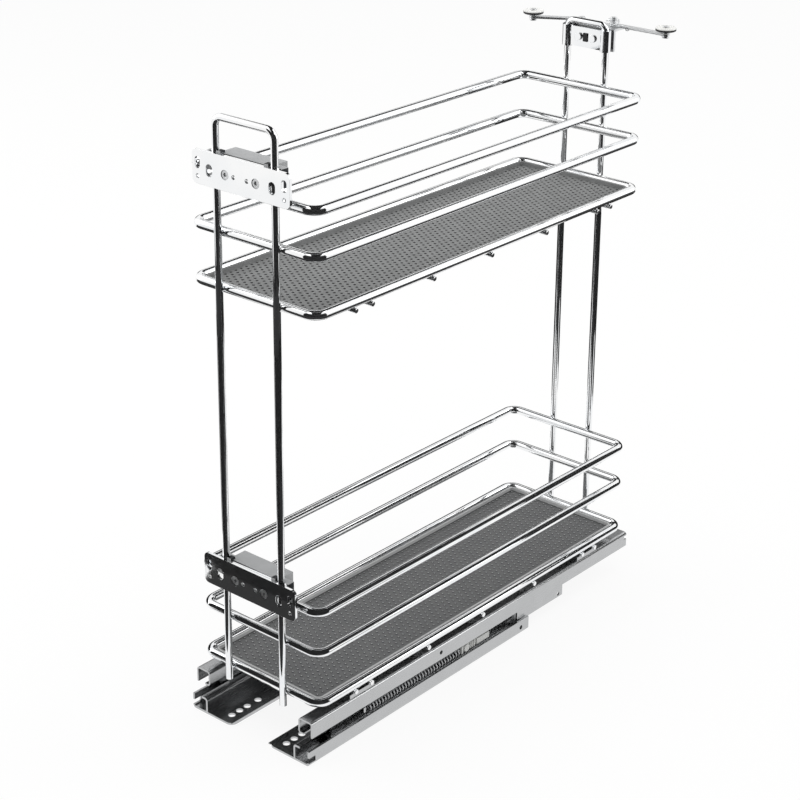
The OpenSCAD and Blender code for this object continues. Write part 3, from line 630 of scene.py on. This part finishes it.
# %% The two mats
mat_corner, mat_rim = mm(4.4), mm(1.6)
sheet_margin = mat_rim - mm(0.2)
tray_floor = mat_floor - mm(pit_depth + 0.15)
for node, finish in mat_finish.items():
    low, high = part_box(node)
    tray = rimmed_tray(low, high, mat_corner, mat_rim, tray_floor)
    sheet = relief_sheet(tiles[node], low, high, mat_top[node], sheet_margin)
    pick(tray, sheet)
    bpy.ops.object.join()
    tray.name = node + "_moulded"
    bpy.ops.object.shade_smooth_by_angle(angle=math.radians(35))
    stand_in(tray, node, finish)
    print(tray.name, "triangles:", triangles(tray))
pick(*tiles.values())
bpy.ops.object.delete()

# %% [markdown]
# ## Sheet metal with real edges
# The runners, the door plates and the stabiliser are punched and bent from sheet. A
# construction solid has knife-sharp edges, but the die rolls every edge over by a few
# tenths of a millimetre, and that thin round is what catches the light. Each of these
# nodes is copied, its loose triangles are merged back to flat faces, and a small bevel
# rounds its edges. Weighted normals keep the large faces flat to the eye and leave all the
# bending of the light to the bevel, which matters on a mirror-bright plate.

# %% Rolled edges for a copied node
def rolled_edges(node, width, material):
    copy = nodes[node].copy()
    copy.data = nodes[node].data.copy()
    copy.parent = None
    copy.matrix_world = Matrix.Identity(4)
    bpy.context.collection.objects.link(copy)
    copy.name = node + "_finished"
    pick(copy)
    edit()
    bpy.ops.mesh.remove_doubles(threshold=mm(0.002))
    bpy.ops.mesh.dissolve_limited(angle_limit=math.radians(0.5))
    leave()
    bevel_edges("rolled", width, 40)
    bpy.ops.object.shade_smooth_by_angle(angle=math.radians(35))
    flat = copy.modifiers.new("flat_faces", "WEIGHTED_NORMAL")
    flat.mode = "FACE_AREA"
    flat.weight = 100
    flat.keep_sharp = True
    bpy.ops.object.modifier_apply(modifier=flat.name)
    return stand_in(copy, node, material)

print("rolled edges ready")

# %% The sheet parts and their edge rounds in millimetres
sheet_parts = {}
for side in ("left", "right"):
    for part, width in (("cabinet_member", 0.3), ("middle_member", 0.25), ("top_member", 0.3)):
        sheet_parts[f"{side}_{part}"] = (width, zinc)
    sheet_parts[f"{side}_arm"] = (0.3, bright_steel)
    sheet_parts[f"{side}_pivot_pin"] = (0.25, bright_steel)
    sheet_parts[f"{side}_roller_pin"] = (0.2, bright_steel)
    sheet_parts[f"{side}_closing_slider"] = (0.3, slider_acetal)
for place in ("front", "rear"):
    sheet_parts[f"{place}_crossbar"] = (0.3, zinc)
for tier in ("upper", "lower"):
    sheet_parts[f"{tier}_door_plate"] = (0.3, plate_chrome)
    sheet_parts[f"{tier}_housing"] = (0.5, housing_nylon)
    sheet_parts[f"{tier}_adjusters"] = (0.25, bright_steel)
sheet_parts["stabiliser_clamp"] = (0.3, plate_chrome)
sheet_parts["stabiliser_bracket"] = (0.4, bright_steel)
sheet_parts["clamp_screws"] = (0.6, plate_chrome)
dressed = {}
for node, (width, material) in sheet_parts.items():
    dressed[node] = rolled_edges(node, width, material)
    print(dressed[node].name, triangles(dressed[node]))

# %% [markdown]
# ## Second materials on a few pieces
# Some parts carry a small piece of another material. The housings have dark lugs beside the
# legs, which stand above the plate, and a dark right end. An adjusting knob at the left end
# is bright, and so is a strip along the front of the top, which a bisect first splits from
# the rest. The clamp has a small black block between its screws. The faces are found by
# their place and take a second or third material slot.

# %% Lugs, knobs, strips and the clamp's block
def second_finish(obj, material, rule):
    obj.data.materials.append(material)
    index = len(obj.data.materials) - 1
    hits = [face for face in obj.data.polygons if rule(face.center)]
    for face in hits:
        face.material_index = index
    return len(hits)

knob_x, right_end_x = mm(-31.4), mm(24)
for tier in ("upper", "lower"):
    housing = dressed[f"{tier}_housing"]
    plate_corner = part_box(f"{tier}_door_plate")[1]
    top, strip_edge = plate_corner.z, plate_corner.y + mm(2.2)
    pick(housing)
    edit()
    bpy.ops.mesh.bisect(plane_co=(0, strip_edge, 0), plane_no=(0, 1, 0))
    leave()
    dark = second_finish(housing, dark_steel, lambda c: c.z > top + mm(0.2) or
                         (c.x > right_end_x and c.z < top - mm(1.2)))
    bright = second_finish(housing, plate_chrome, lambda c: c.x < knob_x or
                           (c.y < strip_edge + mm(0.1) and abs(c.z - top) < mm(0.15)))
    print(housing.name, "dark faces:", dark, "bright faces:", bright)
rear_low, rear_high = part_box("rear_loop")
clamp_front = (rear_low.y + rear_high.y) / 2 - mm(1.7)
block = second_finish(dressed["stabiliser_clamp"], tyre_rubber,
                      lambda c: abs(c.x) < mm(2.1) and c.y < clamp_front)
print("block faces:", block)

# %% [markdown]
# ## Guide rollers
# A guide roller is a disc with a hub, a dished top and a soft rounded tread that runs in a
# rail at the back of the cabinet. It is turned: a half section is drawn as a chain of
# points from the bore outwards and back, in millimetres of radius and height, and a spin
# about the roller's own axis makes the solid. The tread is the lower part of the rim.

# %% Turned rollers
def turned(name, centre, section):
    deselect()
    bpy.ops.mesh.primitive_plane_add(size=mm(1), location=centre)
    obj = bpy.context.object
    obj.name = name
    edit()
    bpy.ops.mesh.merge(type="CENTER")
    first = Vector((section[0][0], 0, section[0][1]))
    bpy.ops.transform.translate(value=tuple(mm(v) for v in first))
    for start, end in zip(section, section[1:] + section[:1]):
        step = (mm(end[0] - start[0]), 0, mm(end[1] - start[1]))
        bpy.ops.mesh.extrude_region_move(TRANSFORM_OT_translate={"value": step})
    bpy.ops.mesh.select_all(action="SELECT")
    bpy.ops.mesh.remove_doubles(threshold=mm(0.005))
    bpy.ops.mesh.spin(steps=40, angle=2 * math.pi, center=centre, axis=(0, 0, 1))
    bpy.ops.mesh.select_all(action="SELECT")
    bpy.ops.mesh.remove_doubles(threshold=mm(0.005))
    bpy.ops.mesh.normals_make_consistent(inside=False)
    leave()
    bpy.ops.object.shade_smooth_by_angle(angle=math.radians(35))
    return obj

print("turning helper ready")

# %% The two rollers
wheel = [(1.6, 0.2), (5.4, 0.2), (6.6, 0), (7.2, 0.3), (7.35, 0.8), (7.25, 1.4), (7.0, 1.5),
         (7.2, 1.6), (7.4, 2.0), (7.25, 2.4), (6.8, 2.6), (6.0, 2.6), (5.6, 2.2), (4.0, 2.2),
         (3.5, 2.6), (1.6, 2.6)]
tread_inside, tread_top = mm(5.8), mm(1.55)
for side in ("left", "right"):
    low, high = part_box(f"{side}_roller")
    centre = Vector(((low.x + high.x) / 2, (low.y + high.y) / 2, low.z))
    disc = turned(f"{side}_roller_turned", centre, wheel)
    roller = stand_in(disc, f"{side}_roller", roller_acetal)
    roller.data.materials.append(tyre_rubber)
    for face in roller.data.polygons:
        out = face.center - centre
        on_tread = math.hypot(out.x, out.y) > tread_inside and out.z < tread_top
        face.material_index = 1 if on_tread else 0
    print(roller.name, triangles(roller))

# %% [markdown]
# ## Nodes that stay
# The balls, their cages, the rivets and the springs already have their true shape, so they
# keep their nodes and only get their materials.

# %% Materials on the kept nodes
kept = {"crossbar_rivets": bright_steel, "arm_spring": spring_steel}
for side in ("left", "right"):
    kept[f"{side}_return_spring"] = spring_steel
    for stage in ("lower", "upper"):
        kept[f"{side}_{stage}_cage"] = cage_nylon
        kept[f"{side}_{stage}_balls"] = ball_steel
for node, material in kept.items():
    slots = nodes[node].material_slots
    for slot in slots:
        slot.material = material
    if not slots:
        nodes[node].data.materials.append(material)
print("kept nodes:", len(kept))

# %% [markdown]
# ## Floor and studio
# The object stands on a plain white floor in a white room. Chrome shows nothing but the
# room, and in an all-white room it would vanish, so a product photographer stands low
# black cards round the set and works from a dark opening. The cards here are seen only by
# reflections: they throw no shadow and never show in the picture. The floor is white by
# its colour. To the camera and in mirrors nine tenths of it are a plain white glow, so that
# it stays white and keeps a soft shadow of the object.

# %% Floor and world
def seen(tree):
    # 1 where the camera, a mirror or glass looks, and 0 for the light that falls on things
    path = add(tree, "ShaderNodeLightPath").outputs
    first = add(tree, "ShaderNodeMath", {"operation": "MAXIMUM"})
    tree.links.new(path["Is Camera Ray"], first.inputs[0])
    tree.links.new(path["Is Glossy Ray"], first.inputs[1])
    second = add(tree, "ShaderNodeMath", {"operation": "MAXIMUM"})
    tree.links.new(first.outputs[0], second.inputs[0])
    tree.links.new(path["Is Transmission Ray"], second.inputs[1])
    return second.outputs[0]

middle = (cad_box[0] + cad_box[1]) / 2
floor_paper = bpy.data.materials.new("white_floor_paper")
floor_paper.use_nodes = True
tree = floor_paper.node_tree
paper = tree.nodes["Principled BSDF"]
paper.inputs["Base Color"].default_value = linear("#F7F7F6")
paper.inputs["Roughness"].default_value = 0.9
glow = add(tree, "ShaderNodeEmission", {"Color": (1, 1, 1, 1), "Strength": 1.0})
share = add(tree, "ShaderNodeMath", {"operation": "MULTIPLY"}, {0: seen(tree)})
share.inputs[1].default_value = 0.9
blend = add(tree, "ShaderNodeMixShader", {},
            {"Fac": share.outputs[0], 1: paper.outputs[0], 2: glow.outputs[0]})
tree.links.new(blend.outputs[0], tree.nodes["Material Output"].inputs["Surface"])
deselect()
bpy.ops.mesh.primitive_plane_add(size=12, location=(middle.x, middle.y, 0))
floor = bpy.context.object
floor.name = "floor"
paint(floor, floor_paper)

world = bpy.data.worlds.new("white_room")
bpy.context.scene.world = world
world.use_nodes = True
tree = world.node_tree
room = tree.nodes["Background"]
room.inputs["Color"].default_value = (1, 1, 1, 1)
strength = add(tree, "ShaderNodeMapRange", {"To Min": 0.55, "To Max": 1.0}, {"Value": seen(tree)})
tree.links.new(strength.outputs["Result"], room.inputs["Strength"])
print("floor and world ready")

# %% Black card
card_black = bpy.data.materials.new("matt_black_card")
card_black.use_nodes = True
card_shader = card_black.node_tree.nodes["Principled BSDF"]
card_shader.inputs["Base Color"].default_value = linear("#1B1B1C")
card_shader.inputs["Roughness"].default_value = 0.9

def card(obj, name):
    obj.name = name
    paint(obj, card_black)
    obj.visible_camera = False
    obj.visible_diffuse = False
    obj.visible_transmission = False
    obj.visible_shadow = False
    return obj

print("card material:", card_black.name)

# %% [markdown]
# ## Cards close to the object
# A bright rail reads as round metal by the dark lines along it, and a line is the mirror
# image of a card. A low wall stands round the back and the left of the set. A ledge runs
# along the front and the right, close to the baskets and a little below the upper one. Its
# shelf and the walls below it draw the thin lines on the rails and legs. Both begin as a
# plane with rounded corners, of which the parts that aren't wanted are deleted.

# %% Low wall
def rounded_sheet(left, front, right, rear, height, corners, bend):
    deselect()
    centre = ((left + right) / 2, (front + rear) / 2, height)
    bpy.ops.mesh.primitive_plane_add(size=1, location=centre)
    sheet = bpy.context.object
    sheet.scale = (right - left, rear - front, 1)
    bpy.ops.object.transform_apply(location=True, rotation=True, scale=True)
    edit("VERT", corners)
    bpy.ops.mesh.bevel(offset=bend, segments=8, affect="VERTICES")
    return sheet

def low_wall(name, reach_x, reach_y, height):
    left, right = middle.x - reach_x, middle.x + reach_x
    front, rear = middle.y - reach_y, middle.y + reach_y
    wall = rounded_sheet(left, front, right, rear, 0, lambda vert: True, 0.2)
    bpy.ops.mesh.select_all(action="SELECT")
    bpy.ops.mesh.delete(type="ONLY_FACE")
    bpy.ops.mesh.select_all(action="SELECT")
    bpy.ops.mesh.extrude_region_move(TRANSFORM_OT_translate={"value": (0, 0, height)})
    leave()
    # The front and most of the right side stay open
    edit("FACE", lambda face: face.center.y < middle.y - 0.2 or
         (face.center.x > middle.x + 0.1 and face.center.y < middle.y + 0.3))
    bpy.ops.mesh.delete(type="FACE")
    leave()
    return card(wall, name)

far_wall = low_wall("low_black_card", 0.30, 0.46, 0.19)
print("low wall faces:", len(far_wall.data.polygons))

# %% Ledge
def ledge(name, left, front, right, rear, shelf, width):
    # A shelf along the front and the right, rounded where they meet
    sheet = rounded_sheet(left, front, right, rear, shelf,
                          lambda vert: vert.co.x > 0 and vert.co.y < 0, 0.05)
    bpy.ops.mesh.select_mode(type="FACE")
    bpy.ops.mesh.select_all(action="SELECT")
    bpy.ops.mesh.inset(thickness=width)
    bpy.ops.mesh.delete(type="FACE")
    leave()
    edit("FACE", lambda face: face.center.x < left + width or face.center.y > rear - width)
    bpy.ops.mesh.delete(type="FACE")
    leave()
    return card(sheet, name)

def walled(shelf, right, front, width, drop, front_drop):
    # Draws a wall down from the shelf's outer edge, and in front a further one below it
    level = shelf.data.vertices[0].co.z

    def outer(index):
        point = shelf.data.vertices[index].co
        return point.x > right - width / 2 or point.y < front + width / 2

    def front_foot(index):
        point = shelf.data.vertices[index].co
        return point.y < front + mm(1) and point.z < level - drop + mm(1)
    for rule, height in ((outer, drop), (front_foot, front_drop)):
        pick(shelf)
        edit("EDGE", lambda edge: all(rule(index) for index in edge.vertices))
        bpy.ops.mesh.extrude_region_move(TRANSFORM_OT_translate={"value": (0, 0, -height)})
        leave()
    return shelf

rail_low, rail_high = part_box("lower_top_rail")
stand_off, shelf_width, shelf_level = 0.115, 0.109, 0.278
left, rear = -0.27, 0.48
front, right = rail_low.y - stand_off, rail_high.x + stand_off
shelf = ledge("near_ledge", left, front, right, rear, shelf_level, shelf_width)
walled(shelf, right, front, shelf_width, 0.15, 0.1)
print("ledge faces:", len(shelf.data.polygons))

# %% [markdown]
# ## A dark side towards the camera
# The camera looks out of a dark opening, so that surfaces that face it mirror black and not
# the white room. The opening is part of a cylinder round the set. It stands in front of the
# camera, which doesn't see it, and a fan of dark floor lies inside it. A bowed sheet passes
# over the set, and a narrow card stands opposite the camera. Each is a full ring at first,
# from which the faces outside an angle are deleted.

# %% Opening and dark floor
camera_azimuth = math.radians(41.7)
set_radius = 0.8

def keep_sector(obj, azimuth, spread):
    # Deletes the faces that lie further than the spread from the azimuth
    toward = Vector((math.sin(azimuth), -math.cos(azimuth)))

    def beside(face):
        away = Vector((face.center.x - middle.x, face.center.y - middle.y)).normalized()
        return away.dot(toward) < math.cos(spread)
    pick(obj)
    edit("FACE", beside)
    bpy.ops.mesh.delete(type="FACE")
    leave()
    return obj

def curved_card(name, azimuth, spread, distance, low, high):
    deselect()
    bpy.ops.mesh.primitive_cylinder_add(vertices=72, radius=distance, depth=high - low,
                                        end_fill_type="NOTHING",
                                        location=(middle.x, middle.y, (low + high) / 2))
    wall = bpy.context.object
    bpy.ops.object.transform_apply(location=True, rotation=True, scale=True)
    return card(keep_sector(wall, azimuth, spread), name)

def floor_fan(name, azimuth, spread, near, far):
    deselect()
    bpy.ops.mesh.primitive_circle_add(vertices=72, radius=far, fill_type="NGON",
                                      location=(middle.x, middle.y, mm(2)))
    fan = bpy.context.object
    bpy.ops.object.transform_apply(location=True, rotation=True, scale=True)
    edit()
    bpy.ops.mesh.select_mode(type="FACE")
    bpy.ops.mesh.select_all(action="SELECT")
    bpy.ops.mesh.inset(thickness=far - near)
    bpy.ops.mesh.delete(type="FACE")
    leave()
    return card(keep_sector(fan, azimuth, spread), name)

curved_card("dark_opening", camera_azimuth, math.radians(65), set_radius, 0, 0.95)
floor_fan("dark_floor", camera_azimuth, math.radians(72), 0.27, set_radius)
print("opening and dark floor at", round(math.degrees(camera_azimuth), 1), "degrees")

# %% Arch and far card
def arch(name, azimuth, distance, width, height, near, far):
    # A bowed sheet over the set, from the near elevation over the top to the far one
    deselect()
    centre = Vector((middle.x, middle.y, height))
    bpy.ops.mesh.primitive_cylinder_add(vertices=72, radius=distance, depth=width,
                                        end_fill_type="NOTHING", location=centre,
                                        rotation=(0, math.pi / 2, azimuth))
    bow = bpy.context.object
    bpy.ops.object.transform_apply(location=True, rotation=True, scale=True)
    toward = Vector((math.sin(azimuth), -math.cos(azimuth), 0))

    def beyond(face):
        out = (face.center - centre).normalized()
        turn = math.degrees(math.atan2(out.z, out.dot(toward)))
        return not near < turn < 180 - far
    edit("FACE", beyond)
    bpy.ops.mesh.delete(type="FACE")
    leave()
    return card(bow, name)

arch("corner_arch", camera_azimuth, set_radius, 0.6, 0.3, 30, 30)
curved_card("far_card", camera_azimuth + math.pi, math.radians(35), 0.9, 0.2, 0.48)
print("cards ready")

# %% [markdown]
# ## Soft light
# A large softbox hangs over the set and two stand beside it. Together with the room they
# bring a white surface to about full white and no further, so colours render about as
# they are written.

# %% Softboxes
def softbox(name, place, size, power):
    deselect()
    bpy.ops.object.light_add(type="AREA", location=place)
    lamp = bpy.context.object
    lamp.name = name
    lamp.data.shape = "RECTANGLE"
    lamp.data.size, lamp.data.size_y = size
    lamp.data.energy = power
    aim = Vector((middle.x, middle.y, 0.2)) - Vector(place)
    lamp.rotation_euler = aim.to_track_quat("-Z", "Y").to_euler()
    return lamp

softbox("top_softbox", (0.0, 0.1, 2.2), (2.0, 2.4), 22)
softbox("left_softbox", (-1.7, -0.5, 1.1), (1.4, 1.6), 12)
softbox("right_softbox", (1.3, 1.7, 1.2), (1.2, 1.6), 12)
print("softboxes ready")

# %% [markdown]
# ## Camera
# The photograph looks at the unit from the front right and from above. Its verticals
# hardly converge, which a view camera reaches by shifting the picture. The shift is kept
# small here, so the rest of the match comes from tilting the camera down by 21 degrees.

# %% Camera
elevation = math.radians(21)
back = Vector((math.sin(camera_azimuth) * math.cos(elevation),
               -math.cos(camera_azimuth) * math.cos(elevation), math.sin(elevation)))
deselect()
bpy.ops.object.camera_add(location=(0.8143, -0.9209, 0.7520))
camera = bpy.context.object
camera.name = "camera"
camera.rotation_euler = (-back).to_track_quat("-Z", "Y").to_euler()
camera.data.lens = 90.34
camera.data.sensor_width = 36
camera.data.shift_x = 0.05
camera.data.shift_y = -0.13
bpy.context.scene.camera = camera
bpy.context.scene.view_settings.view_transform = "Standard"
print("camera at", [round(v, 4) for v in camera.location])
